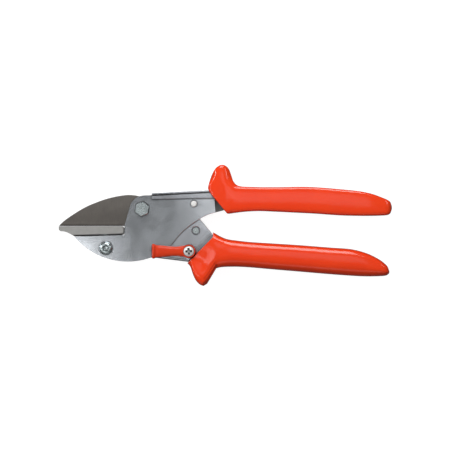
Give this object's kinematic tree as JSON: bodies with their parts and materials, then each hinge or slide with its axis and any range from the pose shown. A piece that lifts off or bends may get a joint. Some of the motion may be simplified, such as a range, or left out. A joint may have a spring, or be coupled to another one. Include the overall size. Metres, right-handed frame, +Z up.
{
  "type": "anvil pruner",
  "caption": "Anvil pruner: a coated blade on a steel lever closes on a flat anvil between two plates, with two moulded grips, an opening spring and a thumb latch.",
  "frame": {"origin": "on the pivot axis, at the pivot bolt's end face, in the plane that the tool lies on", "axes": "+X from the pivot along the handles, +Y from the lower handle to the upper one, +Z up, along the pivot axis, towards the side with the latch"},
  "size_m": [0.2099, 0.0765, 0.0187],
  "materials": {
    "plate_steel": "nickel plated pressed steel, satin",
    "handle_steel": "nickel plated pressed steel, satin",
    "coated_blade": "dark grey low-friction coating, satin",
    "anvil_metal": "machined, dull",
    "fastener_zinc": "bright zinc plate",
    "spring_wire": "drawn spring wire",
    "grip_plastic": "glossy orange-red vinyl coat",
    "latch_plastic": "moulded orange-red plastic"
  },
  "bodies": {
    "anvil_lever": {"front_plate": "plate_steel", "rear_plate": "plate_steel", "upper_channel": "handle_steel", "channel_rivet": "fastener_zinc", "upper_grip": "grip_plastic", "anvil": "anvil_metal", "anvil_screw": "fastener_zinc", "anvil_nut": "fastener_zinc", "pivot_bolt": "fastener_zinc", "pivot_nut": "fastener_zinc", "pivot_bush": "fastener_zinc", "opening_spring": "spring_wire", "spring_stud": "fastener_zinc"},
    "blade_lever": {"blade": "coated_blade", "blade_rivet_1": "fastener_zinc", "blade_rivet_2": "fastener_zinc", "lower_channel": "handle_steel", "lower_grip": "grip_plastic", "spring_rivet": "fastener_zinc", "latch_screw": "fastener_zinc", "latch_nut": "fastener_zinc", "latch_washer": "fastener_zinc"},
    "thumb_latch": {"latch": "latch_plastic"}
  },
  "joints": [
    {"name": "lever_pivot", "type": "hinge", "parent": "anvil_lever", "child": "blade_lever", "pos_m": [0, 0, 0.0087], "axis": [0, 0, -1], "range_deg": [0, 25], "deforming": ["opening_spring"]},
    {"name": "latch_swing", "type": "hinge", "parent": "blade_lever", "child": "thumb_latch", "pos_m": [0.0294, -0.0266, 0.0087], "axis": [0, 0, 1], "range_deg": [0, 40]}
  ]
}
